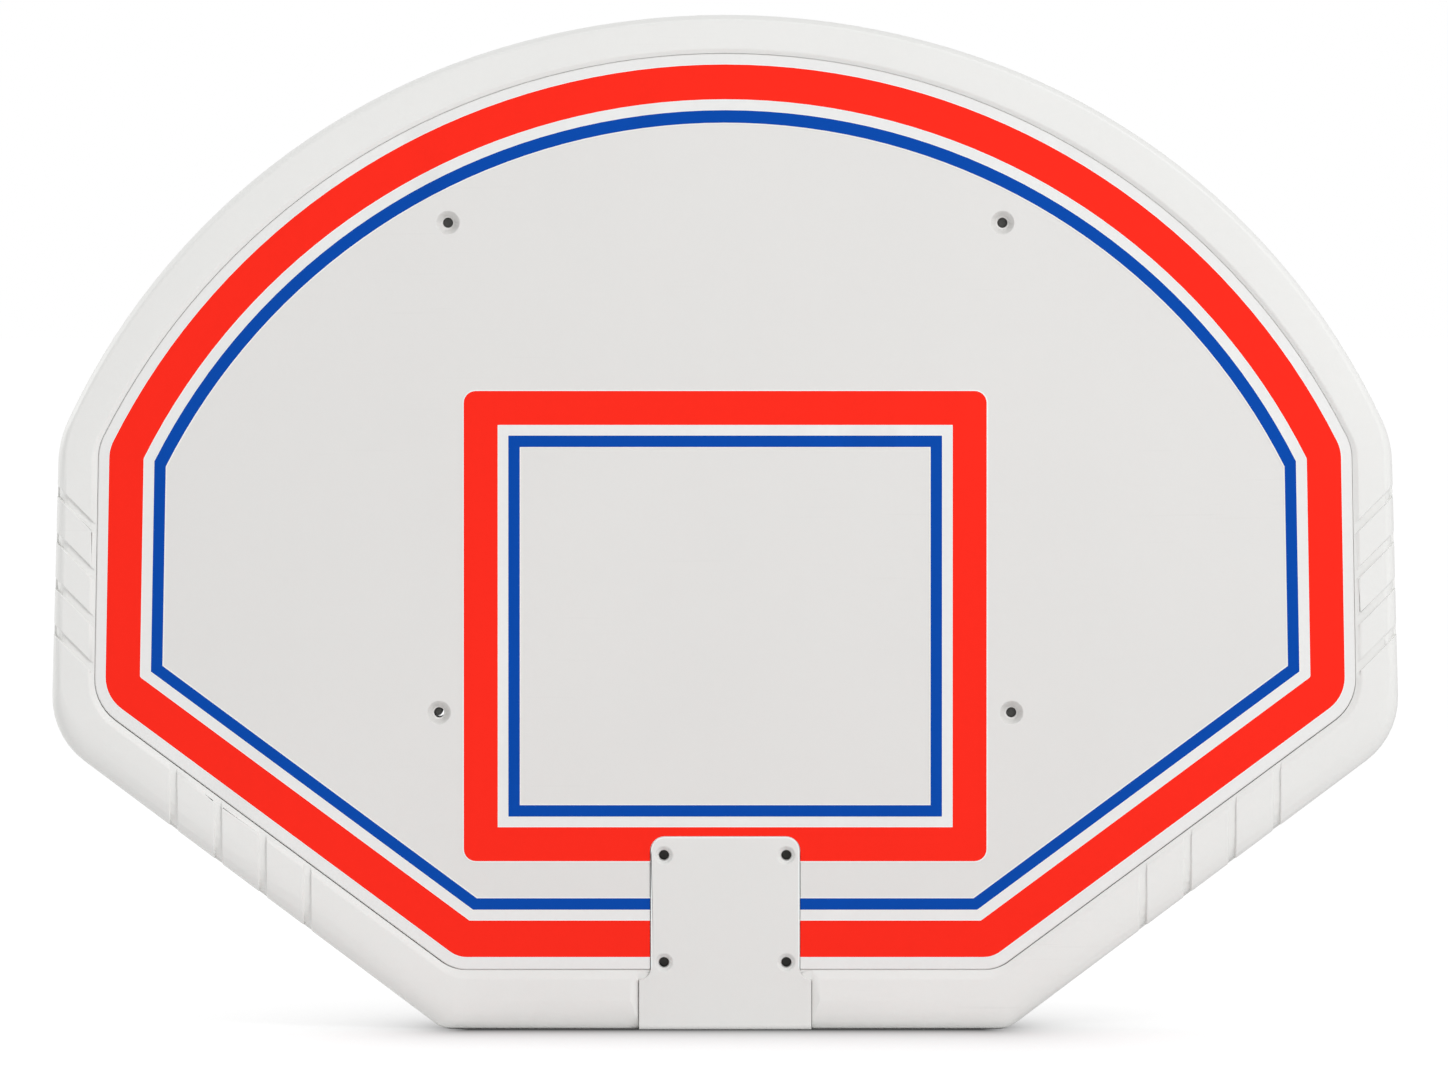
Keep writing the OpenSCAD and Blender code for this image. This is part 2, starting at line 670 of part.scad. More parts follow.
module panel_tape() color([0.25, 0.25, 0.26]) slab(panel_back_y, seat_y) difference() {
    polygon(outline(panel_line, all_round(tape_in)));
    polygon(outline(panel_line, all_round(tape_in + tape_w)));
    box(block_foot_w + 2 * block_room, 0, block_h);
}

module border_film() color([0.95, 0.95, 0.95])
    border_band(all_round(film_rest_w), blue_out + all_round(film_edge_w), film_y, panel_y);
module border_red_stripe() color([0.98, 0.12, 0.08]) border_band(red_in, red_out, ink_y, film_y);
module border_blue_stripe() color([0.03, 0.25, 0.65]) border_band(blue_in, blue_out, ink_y, film_y);

module target_film() color([0.95, 0.95, 0.95])
    target_band(-film_edge_w, target_blue_in + blue_w + film_edge_w, target_r + film_edge_w, film_y, panel_y);
module target_red_stripe() color([0.98, 0.12, 0.08]) target_band(0, target_red_w, target_r, ink_y, film_y);
module target_blue_stripe() color([0.03, 0.25, 0.65])
    target_band(target_blue_in, target_blue_in + blue_w, sharp_r, ink_y, film_y);

module bracket_sleeve() color([0.72, 0.73, 0.75]) difference() {
    union() {
        bar(cup_back_y, rear_y, sleeve_d);
        bar(cup_back_y, cup_back_y + sleeve_flange_t, sleeve_flange_d);
    }
    bar(front_y, far, bolt_hole_d);
}

module rim_sleeve() color([0.72, 0.73, 0.75]) difference() {
    bar(block_back_y, plate_y, sleeve_d);
    bar(front_y, far, bolt_hole_d);
}

module backing_plate() color([0.62, 0.63, 0.65]) difference() {
    slab(plate_y, rear_y) translate([0, rim_z]) round_box(plate_w, plate_h, plate_r);
    at_rim_bolts() bar(front_y, far, bolt_hole_d);
    at_plate_screws() {
        bar(front_y, far, screw_d + 2 * shank_gap);
        sunk_head(shank_gap);
    }
}

// Pan-head screw: the head starts at depth y and the shank runs forward by len
module screw(y, len) {
    bar(y, y + screw_head_h, screw_head_d);
    bar(y - len, y + eps, screw_d);
}

// Countersunk head, flush with the back
module sunk_head(gap) translate([0, rear_y, 0]) rotate([90, 0, 0])
    cylinder(h = (screw_head_d - screw_d) / 2, d1 = screw_head_d + 2 * gap, d2 = screw_d + 2 * gap,
        $fn = hole_fn);

module shell_screws() color([0.55, 0.56, 0.58]) at_shell_screws() screw(head_seat_y, boss_web + screw_bite);
module block_screws() color([0.55, 0.56, 0.58])
    at_block_screws() screw(tray_back_y, seat_t + screw_bite - tip_gap);
module plate_screws() color([0.55, 0.56, 0.58]) at_plate_screws() {
    sunk_head(0);
    bar(plate_y - shell_wall, rear_y - eps, screw_d);
}

front_frame();
rear_shell();
rim_block();
face_panel();
panel_tape();
border_film();
border_red_stripe();
border_blue_stripe();
target_film();
target_red_stripe();
target_blue_stripe();
for (i = [0:3]) {
    translate(bracket_at(i)) bracket_sleeve();
    translate(rim_at(i)) rim_sleeve();
}
backing_plate();
shell_screws();
block_screws();
plate_screws();
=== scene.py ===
import math
import bmesh
import bpy
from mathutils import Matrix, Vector
from mathutils.bvhtree import BVHTree


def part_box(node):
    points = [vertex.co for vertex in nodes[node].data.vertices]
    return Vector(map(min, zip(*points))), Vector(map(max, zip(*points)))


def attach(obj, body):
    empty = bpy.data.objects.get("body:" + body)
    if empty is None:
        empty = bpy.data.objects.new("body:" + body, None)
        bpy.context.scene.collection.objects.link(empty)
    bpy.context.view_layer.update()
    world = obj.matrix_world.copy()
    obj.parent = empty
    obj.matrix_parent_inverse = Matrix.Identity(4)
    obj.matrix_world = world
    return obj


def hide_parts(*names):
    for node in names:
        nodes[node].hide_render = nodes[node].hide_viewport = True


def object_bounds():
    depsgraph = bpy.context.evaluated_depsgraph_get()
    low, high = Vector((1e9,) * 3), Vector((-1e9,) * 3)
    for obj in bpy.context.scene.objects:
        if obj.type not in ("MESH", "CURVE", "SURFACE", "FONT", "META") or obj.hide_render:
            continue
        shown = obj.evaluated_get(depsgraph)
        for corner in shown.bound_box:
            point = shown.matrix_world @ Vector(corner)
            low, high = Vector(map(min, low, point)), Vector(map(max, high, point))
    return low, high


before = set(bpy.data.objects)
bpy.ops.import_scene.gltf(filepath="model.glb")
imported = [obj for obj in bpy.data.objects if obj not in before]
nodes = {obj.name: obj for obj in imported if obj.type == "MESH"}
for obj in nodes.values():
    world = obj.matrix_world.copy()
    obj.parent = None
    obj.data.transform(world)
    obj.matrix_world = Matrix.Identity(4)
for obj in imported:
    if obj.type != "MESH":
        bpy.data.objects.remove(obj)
cad_low, cad_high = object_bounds()


# The studio: a plain white floor under a pale sky, a broad soft lamp over the camera's right
# shoulder, a weaker one from the left and behind, and a long-lens camera square to the board.
# The floor keeps the board's shadow, with a painted shadow added by the foot in low views, and is
# clear from below.
BOARD_MIDDLE = Vector((0, 0, 0.42))
WHITE = (1, 1, 1, 1)
SKY_LIGHT = 0.64

# The camera: how wide it sees at the board, the point it looks at, how far off it stands, how
# steeply it looks down, how far it sees at all, and its sensor's width
VIEW_W = 1.20097
VIEW_AIM = Vector((-0.00097, cad_low.y, 0.4039))
VIEW_DISTANCE = 12.4
VIEW_RISE = math.radians(1.0)
VIEW_END = 500
SENSOR_W = 36

# The floor: half its width, its tone for the light that it throws back, and for the camera a gain
# and a share of plain white, which both grow with the level. The level rises from 0 in a steep
# view to 1 in a grazing one, and the painted shadow by the foot grows with it too.
FLOOR_HALF_W = 150
FLOOR_SHADE = 0.88
SEEN_GAIN = 1.40
SEEN_GAIN_MORE = 0.35
SEEN_WHITE = 0.25
SEEN_WHITE_MORE = 0.55
LEVEL_STEEP = 0.66
LEVEL_GRAZED = 0.94

# The painted shadow by the foot: the half sizes of the edge that stands there, what divides the
# black at that edge, how the painted shadow falls off outwards, and how much faster it does so past
# the edge's ends
FOOT_HALF_W = 0.213
FOOT_HALF_D = 0.031
FOOT_SHADOW_EASE = 1.06
FOOT_SHADOW_FALL = 34.0
FOOT_SHADOW_POWER = 1.25
FOOT_SHADOW_END_FALL = 2.2


def placed(name, data):
    thing = bpy.data.objects.new(name, data)
    bpy.context.scene.collection.objects.link(thing)
    return thing


def made(name, bm):
    """A piece with the shape of bm."""
    mesh = bpy.data.meshes.new(name)
    bm.to_mesh(mesh)
    bm.free()
    return placed(name, mesh)


def add_node(tree, kind, sockets=None, **settings):
    node = tree.nodes.new(kind)
    for name, value in settings.items():
        setattr(node, name, value)
    for name, value in (sockets or {}).items():
        if isinstance(value, bpy.types.NodeSocket):
            tree.links.new(value, node.inputs[name])
        else:
            node.inputs[name].default_value = value
    return node


def math_node(tree, operation, a, b=0.0, c=0.0, clamp=False):
    return add_node(tree, "ShaderNodeMath", {0: a, 1: b, 2: c},
                    operation=operation, use_clamp=clamp).outputs[0]


def spread(tree, value, low, high, to_low=0.0, to_high=1.0):
    return add_node(tree, "ShaderNodeMapRange", {
        "Value": value,
        "From Min": low,
        "From Max": high,
        "To Min": to_low,
        "To Max": to_high,
    }).outputs[0]


def length_of(tree, x, y):
    pair = add_node(tree, "ShaderNodeCombineXYZ", {0: x, 1: y})
    return add_node(tree, "ShaderNodeVectorMath", {0: pair.outputs[0]},
                    operation="LENGTH").outputs["Value"]


def mix_shader(tree, share, first, second):
    return add_node(tree, "ShaderNodeMixShader", {
        0: share,
        1: first.outputs[0],
        2: second.outputs[0],
    })


def new_material(name):
    material = bpy.data.materials.new(name)
    material.use_nodes = True
    material.node_tree.nodes.clear()
    return material, material.node_tree


sky = bpy.data.worlds.new("studio_sky")
bpy.context.scene.world = sky
sky.use_nodes = True
tree = sky.node_tree
tree.nodes.clear()
path = add_node(tree, "ShaderNodeLightPath")
mirrored = math_node(tree, "MAXIMUM", path.outputs["Is Glossy Ray"],
                     path.outputs["Is Transmission Ray"])
sky_seen = math_node(tree, "MAXIMUM", path.outputs["Is Camera Ray"], mirrored)
sky_light = add_node(tree, "ShaderNodeBackground", {"Color": WHITE, "Strength": SKY_LIGHT})
sky_white = add_node(tree, "ShaderNodeBackground", {"Color": WHITE, "Strength": 1.0})
sky_mix = mix_shader(tree, sky_seen, sky_light, sky_white)
add_node(tree, "ShaderNodeOutputWorld", {"Surface": sky_mix.outputs[0]})

floor_paper, tree = new_material("floor_paper")
from_camera = add_node(tree, "ShaderNodeLightPath").outputs["Is Camera Ray"]
from_below = add_node(tree, "ShaderNodeNewGeometry").outputs["Backfacing"]
facing = add_node(tree, "ShaderNodeLayerWeight", {"Blend": 0.5}).outputs["Facing"]
level = spread(tree, facing, LEVEL_STEEP, LEVEL_GRAZED)
# A painted contact shadow: the floor's colour is darkened near the board's foot, more so in grazing
# views
spot = add_node(tree, "ShaderNodeTexCoord").outputs["Object"]
at = add_node(tree, "ShaderNodeSeparateXYZ", {0: spot})
beside = math_node(tree, "SUBTRACT", math_node(tree, "ABSOLUTE", at.outputs["X"]), FOOT_HALF_W)
beyond = math_node(tree, "SUBTRACT", math_node(tree, "ABSOLUTE", at.outputs["Y"]), FOOT_HALF_D)
past_end = math_node(tree, "MULTIPLY", math_node(tree, "MAXIMUM", beside), FOOT_SHADOW_END_FALL)
off_foot = length_of(tree, past_end, math_node(tree, "MAXIMUM", beyond))
fall = math_node(tree, "POWER", off_foot, FOOT_SHADOW_POWER)
shadow_fade = math_node(tree, "MULTIPLY_ADD", fall, FOOT_SHADOW_FALL, FOOT_SHADOW_EASE)
tone = math_node(tree, "SUBTRACT", 1.0, math_node(tree, "DIVIDE", level, shadow_fade))
gain = math_node(tree, "MULTIPLY_ADD", level, SEEN_GAIN_MORE, SEEN_GAIN)
seen_tone = math_node(tree, "MULTIPLY", tone, gain)
paper = add_node(tree, "ShaderNodeBsdfDiffuse", {
    "Color": spread(tree, from_camera, 0.0, 1.0, FLOOR_SHADE, seen_tone),
})
plain = add_node(tree, "ShaderNodeEmission", {"Color": tone, "Strength": 1.0})
plain_share = math_node(tree, "MULTIPLY_ADD", level, SEEN_WHITE_MORE, SEEN_WHITE)
seen = mix_shader(tree, math_node(tree, "MULTIPLY", from_camera, plain_share), paper, plain)
clear = add_node(tree, "ShaderNodeBsdfTransparent")
shown = mix_shader(tree, math_node(tree, "MULTIPLY", from_below, from_camera), seen, clear)
add_node(tree, "ShaderNodeOutputMaterial", {"Surface": shown.outputs[0]})

bm = bmesh.new()
bmesh.ops.create_grid(bm, x_segments=1, y_segments=1, size=FLOOR_HALF_W)
floor = made("floor", bm)
floor.data.materials.append(floor_paper)


def aim(thing, look):
    thing.rotation_euler = look.to_track_quat("-Z", "Y").to_euler()


def add_lamp(name, place, size, power):
    data = bpy.data.lights.new(name, "AREA")
    data.shape = "DISK"
    data.size = size
    data.energy = power
    lamp = placed(name, data)
    lamp.location = place
    aim(lamp, BOARD_MIDDLE - Vector(place))


add_lamp("soft_lamp", place=(2.6, -3.8, 3.0), size=2.6, power=104)
add_lamp("back_lamp", place=(-4.2, 2.2, 2.0), size=2.4, power=72)

camera_data = bpy.data.cameras.new("camera")
camera_data.sensor_width = SENSOR_W
camera_data.lens = SENSOR_W * VIEW_DISTANCE / VIEW_W
camera_data.clip_end = VIEW_END
camera = placed("camera", camera_data)
look = Vector((0, math.cos(VIEW_RISE), -math.sin(VIEW_RISE)))
camera.location = VIEW_AIM - look * VIEW_DISTANCE
aim(camera, look)
bpy.context.scene.camera = camera
bpy.context.scene.view_settings.view_transform = "Standard"


# The frame: one blow-moulded piece of white polyethylene. Its rolled edge, grip grooves and the
# slope down to the panel come out of the mould with soft edges and a fine leathery grain.
FRAME_TONE = (234, 234, 232)
FRAME_EDGE_R = 0.0010

# The frame's edges: where the shell hides them, how near the panel they stay crisp, how near the
# front ridge they lie on it, the slight turn that counts there, and how squarely a face looks
# forwards when it is no longer a slope
HIDDEN_Y = cad_low.y + 0.0225
CHANNEL_REACH = 0.0020
RIDGE_NEAR = 0.00001
RIDGE_TURN = 12
SQUARE_ON = 0.995

# Turns in degrees: faces that count as one plane, edges that look crisp, edges that get a round
FLAT_TURN = 0.4
CRISP_TURN = 32
ROUND_TURN = 40

# How near two corners of a mesh are the same one, and how near a cut takes a corner that is there
WELD = 0.000002
CUT_SNAP = 0.00002

# The grain: the middle of any noise, the parts of flow and specks in the cloudy tone, how far the
# flow rubs the roughness up and down, and the relief
NOISE_MIDDLE = 0.5
FLOW_PART = 0.5
SPECK_PART = 0.35
FLOW_RUB = 0.30
RIPPLE_PART = 1.2
GRAIN_RELIEF = 0.00012

# Where plastic is scuffed: the share of its tone that is left, and how much rougher it is
SCUFF_TONE = 0.90
SCUFF_ROUGH = 0.2


def ink(red, green, blue, share=1.0):
    """A shader's colour from one written in steps of 255, or a share of its light."""
    def linear(v):
        v = v / 255
        return v / 12.92 if v <= 0.04045 else ((v + 0.055) / 1.055) ** 2.4
    return (linear(red) * share, linear(green) * share, linear(blue) * share, 1)


def new_group(name, takes, gives):
    tree = bpy.data.node_groups.new(name, "ShaderNodeTree")
    for label, kind, value in takes:
        socket = tree.interface.new_socket(name=label, in_out="INPUT", socket_type=kind)
        socket.default_value = value
    for label, kind in gives:
        tree.interface.new_socket(name=label, in_out="OUTPUT", socket_type=kind)
    return tree, tree.nodes.new("NodeGroupInput"), tree.nodes.new("NodeGroupOutput")


def give(tree, gives, **values):
    for label, value in values.items():
        tree.links.new(value, gives.inputs[label])


def object_place(tree, stretch=(1, 1, 1), turn=(0, 0, 0)):
    place = add_node(tree, "ShaderNodeTexCoord")
    return add_node(tree, "ShaderNodeMapping", {
        "Vector": place.outputs["Object"],
        "Rotation": turn,
        "Scale": stretch,
    }).outputs[0]


def noise(tree, scale, detail=2.0, rough=0.5, **place):
    return add_node(tree, "ShaderNodeTexNoise", {
        "Vector": object_place(tree, **place),
        "Scale": scale,
        "Detail": detail,
        "Roughness": rough,
    }).outputs["Fac"]


def swayed(tree, base, value, middle, share):
    """base, moved by a share of how far value lies from its middle."""
    return math_node(tree, "MULTIPLY_ADD", math_node(tree, "SUBTRACT", value, middle), share, base)


def shaded(tree, colour, factor):
    return add_node(tree, "ShaderNodeVectorMath", {0: colour, 1: factor},
                    operation="MULTIPLY").outputs[0]


def blended(tree, share, first, second):
    """The colour that lies between two others."""
    return add_node(tree, "ShaderNodeMix", {0: share, 6: first, 7: second},
                    data_type="RGBA").outputs[2]


def bump(tree, height, strength, distance):
    return add_node(tree, "ShaderNodeBump", {
        "Strength": strength,
        "Distance": distance,
        "Height": height,
    }).outputs[0]


def surface(tree, sockets):
    skin = add_node(tree, "ShaderNodeBsdfPrincipled", sockets)
    add_node(tree, "ShaderNodeOutputMaterial", {"Surface": skin.outputs[0]})


# Moulded grain: cloudy tone from the cooling of the plastic, slow ripple and a fine pebble
moulded, takes, gives = new_group("moulded_grain", [
    ("Colour", "NodeSocketColor", (0.8, 0.8, 0.8, 1)),
    ("Cloud", "NodeSocketFloat", 0.03),
    ("Roughness", "NodeSocketFloat", 0.45),
    ("Pebble", "NodeSocketFloat", 0.2),
], [
    ("Colour", "NodeSocketColor"),
    ("Roughness", "NodeSocketFloat"),
    ("Normal", "NodeSocketVector"),
])
clouds = noise(moulded, scale=5.0, detail=3.0, rough=0.55)
flow = noise(moulded, scale=9.0, stretch=(1, 1, 0.35))
specks = noise(moulded, scale=260.0, rough=0.6)
cloudy = math_node(moulded, "MULTIPLY_ADD", specks, SPECK_PART, clouds)
cloudy = math_node(moulded, "MULTIPLY_ADD", flow, FLOW_PART, cloudy)
cloudy_middle = NOISE_MIDDLE * (1 + FLOW_PART + SPECK_PART)
factor = swayed(moulded, 1.0, cloudy, cloudy_middle, takes.outputs["Cloud"])
ripple = noise(moulded, scale=70.0)
pebble = noise(moulded, scale=900.0, rough=0.55)
relief = math_node(moulded, "MULTIPLY_ADD", ripple, RIPPLE_PART, pebble)
give(moulded, gives,
     Colour=shaded(moulded, takes.outputs["Colour"], factor),
     Roughness=swayed(moulded, takes.outputs["Roughness"], flow, NOISE_MIDDLE, FLOW_RUB),
     Normal=bump(moulded, relief, takes.outputs["Pebble"], GRAIN_RELIEF))

# Handling marks: short hairline scuffs that lie in loose patches, at two slants
scuffed, takes, gives = new_group("handling_marks", [
    ("Amount", "NodeSocketFloat", 0.5),
], [
    ("Marks", "NodeSocketFloat"),
])
patches = spread(scuffed, noise(scuffed, scale=6.0), low=0.52, high=0.68)
lines_a = noise(scuffed, scale=10.0, detail=1.0, stretch=(1.0, 1, 42), turn=(0, 0.5, 0))
lines_b = noise(scuffed, scale=12.0, detail=1.0, stretch=(0.8, 1, 60), turn=(0, -0.9, 0))
thin_a = spread(scuffed, lines_a, low=0.70, high=0.74)
thin_b = spread(scuffed, lines_b, low=0.72, high=0.76)
marks = math_node(scuffed, "MULTIPLY", math_node(scuffed, "MAXIMUM", thin_a, thin_b), patches)
give(scuffed, gives, Marks=math_node(scuffed, "MULTIPLY", marks, takes.outputs["Amount"]))


def moulded_plastic(name, tone, cloud, roughness, pebble, scuffs, dress=None):
    """Moulded polyethylene of one tone. dress, where it is given, adds to the colour: on the block
    it adds a painted highlight along the edge.
    """
    material, tree = new_material(name)
    grain = add_node(tree, "ShaderNodeGroup", {
        "Colour": ink(*tone),
        "Cloud": cloud,
        "Roughness": roughness,
        "Pebble": pebble,
    }, node_tree=moulded)
    worn = add_node(tree, "ShaderNodeGroup", {"Amount": scuffs}, node_tree=scuffed)
    marks = worn.outputs["Marks"]
    colour = blended(tree, marks, grain.outputs["Colour"], ink(*tone, share=SCUFF_TONE))
    surface(tree, {
        "Base Color": dress(tree, colour) if dress else colour,
        "Roughness": math_node(tree, "MULTIPLY_ADD", marks, SCUFF_ROUGH,
                               grain.outputs["Roughness"], clamp=True),
        "Normal": grain.outputs["Normal"],
        "IOR": 1.5,
        "Specular IOR Level": 0.25,
    })
    return material


def paint(piece, material):
    piece.data.materials.clear()
    piece.data.materials.append(material)


def welded(node):
    """The mesh of a CAD node, whose loose triangles are joined."""
    bm = bmesh.new()
    bm.from_mesh(nodes[node].data)
    bmesh.ops.remove_doubles(bm, verts=bm.verts, dist=WELD)
    return bm


def soft_copy(node, name, edge_r, rounds, cuts=()):
    """A copy of a CAD node whose crisp edges are rounded as the mould or the press leaves them.
    With cuts, its flat faces are made whole and every face is then cut along these planes, which
    keeps the rounding clean."""
    bm = welded(node)
    if cuts:
        bmesh.ops.dissolve_limit(bm, angle_limit=math.radians(FLAT_TURN), verts=bm.verts,
                                 edges=bm.edges)
    for point, across in cuts:
        bmesh.ops.bisect_plane(bm, geom=bm.verts[:] + bm.edges[:] + bm.faces[:], dist=CUT_SNAP,
                               plane_co=point, plane_no=across)
    weight = bm.edges.layers.float.new("bevel_weight_edge")
    for edge in bm.edges:
        turn = math.degrees(edge.calc_face_angle(0))
        round_it = len(edge.link_faces) == 2 and rounds(edge, turn)
        edge[weight] = 1 if round_it else 0
        edge.smooth = round_it or turn < CRISP_TURN
    for face in bm.faces:
        face.smooth = True
    piece = placed(name, nodes[node].data.copy())
    bm.to_mesh(piece.data)
    bm.free()
    rounding = piece.modifiers.new("rounded_edges", "BEVEL")
    rounding.limit_method = "WEIGHT"
    rounding.width = edge_r
    rounding.segments = 3
    rounding.profile = 0.5
    rounding.use_clamp_overlap = False
    even = piece.modifiers.new("even_normals", "WEIGHTED_NORMAL")
    even.weight = 100
    even.keep_sharp = True
    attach(piece, "root")
    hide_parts(node)
    return piece


def near_channel(edge):
    """True beside the panel, where the frame's edges stay as crisp as the gap is thin."""
    return any(panel_tree.find_nearest(v.co, CHANNEL_REACH)[0] is not None for v in edge.verts)


def frame_rounds(edge, turn):
    """True for the frame's seen edges. Along its front ridge a slight turn counts as well, but
    only where the frame slopes down to the panel."""
    if near_channel(edge) or max(v.co.y for v in edge.verts) > HIDDEN_Y:
        return False
    at_ridge = all(abs(v.co.y - cad_low.y) < RIDGE_NEAR for v in edge.verts)
    if at_ridge and RIDGE_TURN < turn < ROUND_TURN:
        return any(slopes_inwards(face) for face in edge.link_faces)
    return turn > ROUND_TURN


def slopes_inwards(face):
    inwards = BOARD_MIDDLE - face.calc_center_median()
    return abs(face.normal.y) < SQUARE_ON and face.normal.dot(inwards) > 0


panel_shape = bmesh.new()
panel_shape.from_mesh(nodes["face_panel"].data)
panel_tree = BVHTree.FromBMesh(panel_shape)
panel_shape.free()
frame_plastic = moulded_plastic("frame_plastic", FRAME_TONE, cloud=0.05, roughness=0.46,
                                pebble=0.30, scuffs=0.25)
front_frame = soft_copy("front_frame", "moulded_frame", FRAME_EDGE_R, frame_rounds)
paint(front_frame, frame_plastic)


# The bonding tape: a ring of dark grey closed-cell foam that holds the panel to the frame's seat.
# It is die-cut and pressed flat between them, out of sight.
TAPE_TONE = (62, 62, 64)
TAPE_CELL_TONE = (84, 84, 86)

tape_foam, tree = new_material("tape_foam")
cells = add_node(tree, "ShaderNodeTexVoronoi", {
    "Vector": object_place(tree),
    "Scale": 1400.0,
}).outputs["Distance"]
surface(tree, {
    "Base Color": blended(tree, spread(tree, cells, low=0.1, high=0.7), ink(*TAPE_TONE),
                          ink(*TAPE_CELL_TONE)),
    "Roughness": 0.9,
    "Normal": bump(tree, cells, strength=0.5, distance=0.0002),
    "Specular IOR Level": 0.2,
})
paint(nodes["panel_tape"], tape_foam)


# The face panel: a flat moulding of white polyethylene, a little greyer and smoother than the
# frame, with cups for the bracket's bolts. It lies bonded in the frame's channel.
PANEL_TONE = (227, 226, 224)
PANEL_EDGE_R = 0.0005
PANEL_BACK_Y = cad_low.y + 0.0115


def front_rounds(back_y):
    """Picks the sharp edges that lie in front of back_y."""
    return lambda edge, turn: turn > ROUND_TURN and max(v.co.y for v in edge.verts) < back_y


panel_plastic = moulded_plastic("panel_plastic", PANEL_TONE, cloud=0.035, roughness=0.52,
                                pebble=0.22, scuffs=0.20)
face_panel = soft_copy("face_panel", "faced_panel", PANEL_EDGE_R, front_rounds(PANEL_BACK_Y))
paint(face_panel, panel_plastic)


# The border's print: a strip of white vinyl film round the panel, screen-printed with a broad red
# and a narrow blue stripe. A hair of lighter film shows along both sides of each stripe.
FILM_TONE = (235, 235, 234)
RED = (255, 43, 28)
BLUE = (3, 73, 171)
COOL_LINE = (238, 249, 248)
WARM_LINE = (247, 244, 237)

# The creases: how much they and the fine grain change the film's tone, roughness and relief. The
# creases' change of tone is painted shade in their hollows and painted light on their crests.
CREASE_SHADE = 0.9
FINE_SHADE = 0.035
FILM_ROUGH = 0.30
FINE_ROUGH = 0.16
FILM_RELIEF = 0.0008
FINE_RELIEF = 0.03

# The keylines: their width and thickness, how far they lie below the face of their stripe, and
# how squarely a face looks forwards to be that one
KEYLINE_W = 0.0007
KEYLINE_T = 0.00012
KEYLINE_SINK = 0.00005
FRONT_ON = 0.9

# The rim block, where it stands in the print: half its width, its top and the bare gap round it
BLOCK_HALF_W = 0.0618
BLOCK_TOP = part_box("rim_block")[1].z
BLOCK_GAP = 0.0016

# Wrinkles: long faint creases where the film was smoothed down across its width
creased, takes, gives = new_group("film_creases", [
    ("Colour", "NodeSocketColor", (0.8, 0.8, 0.8, 1)),
    ("Depth", "NodeSocketFloat", 0.5),
], [
    ("Colour", "NodeSocketColor"),
    ("Roughness", "NodeSocketFloat"),
    ("Normal", "NodeSocketVector"),
])
creases = noise(creased, scale=26.0, detail=3.0, rough=0.55, stretch=(1, 1, 0.22),
                turn=(0, -0.55, 0))
patches = spread(creased, noise(creased, scale=5.0), low=0.48, high=0.66)
lines = math_node(creased, "MULTIPLY", math_node(creased, "SUBTRACT", creases, NOISE_MIDDLE),
                  patches)
fine = noise(creased, scale=320.0)
deep_lines = math_node(creased, "MULTIPLY", lines, takes.outputs["Depth"])
# Painted shade and light: the tone is darker in the creases' hollows and lighter on their crests
shade = math_node(creased, "MULTIPLY_ADD", deep_lines, CREASE_SHADE, 1.0)
shade = swayed(creased, shade, fine, NOISE_MIDDLE, FINE_SHADE)
relief = math_node(creased, "MULTIPLY_ADD", fine, FINE_RELIEF, lines)
give(creased, gives,
     Colour=shaded(creased, takes.outputs["Colour"], shade),
     Roughness=math_node(creased, "MULTIPLY_ADD", fine, FINE_ROUGH, FILM_ROUGH),
     Normal=bump(creased, relief, takes.outputs["Depth"], FILM_RELIEF))


def printed_film(name, tone, depth, specular):
    """White film, or a coat of ink on it, with creases of this depth."""
    material, tree = new_material(name)
    skin = add_node(tree, "ShaderNodeGroup", {
        "Colour": ink(*tone),
        "Depth": depth,
    }, node_tree=creased)
    surface(tree, {
        "Base Color": skin.outputs["Colour"],
        "Roughness": skin.outputs["Roughness"],
        "Normal": skin.outputs["Normal"],
        "Specular IOR Level": specular,
    })
    return material


def in_notch(point):
    """True beside the rim block, whose edge is bare."""
    return abs(point.x) < BLOCK_HALF_W + BLOCK_GAP and point.z < BLOCK_TOP + BLOCK_GAP


def new_verts(grown):
    return [g for g in grown["geom"] if isinstance(g, bmesh.types.BMVert)]


def keyline(stripe, name, film):
    """The hair of light film along both sides of a stripe, left off beside the rim block. The
    outline of the stripe's front is grown outwards, and what has grown is made a thin solid."""
    bm = welded(stripe)
    bmesh.ops.delete(bm, geom=[f for f in bm.faces if f.normal.y > -FRONT_ON], context="FACES")
    bmesh.ops.translate(bm, verts=bm.verts, vec=(0, KEYLINE_SINK, 0))
    stripe_faces = set(bm.faces)
    outline = [e for e in bm.edges if e.is_boundary]
    outward = {}
    for edge in outline:
        face = edge.link_faces[0]
        start, end = (v.co for v in edge.verts)
        side = (end - start).cross(face.normal).normalized()
        if side.dot(face.calc_center_median() - start) > 0:
            side = -side
        for vert in edge.verts:
            outward.setdefault(vert, []).append(side)
    for vert in new_verts(bmesh.ops.extrude_edge_only(bm, edges=outline)):
        root = next(e.other_vert(vert) for e in vert.link_edges if e.other_vert(vert) in outward)
        side, other = outward[root][:2]
        vert.co += (side + other) * KEYLINE_W / (1 + side.dot(other))
    drop = [f for f in bm.faces if f in stripe_faces or in_notch(f.calc_center_median())]
    bmesh.ops.delete(bm, geom=drop, context="FACES")
    sunk = bmesh.ops.extrude_face_region(bm, geom=bm.faces[:])
    bmesh.ops.translate(bm, verts=new_verts(sunk), vec=(0, KEYLINE_T, 0))
    bmesh.ops.recalc_face_normals(bm, faces=bm.faces)
    line = made(name, bm)
    paint(line, film)
    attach(line, "root")


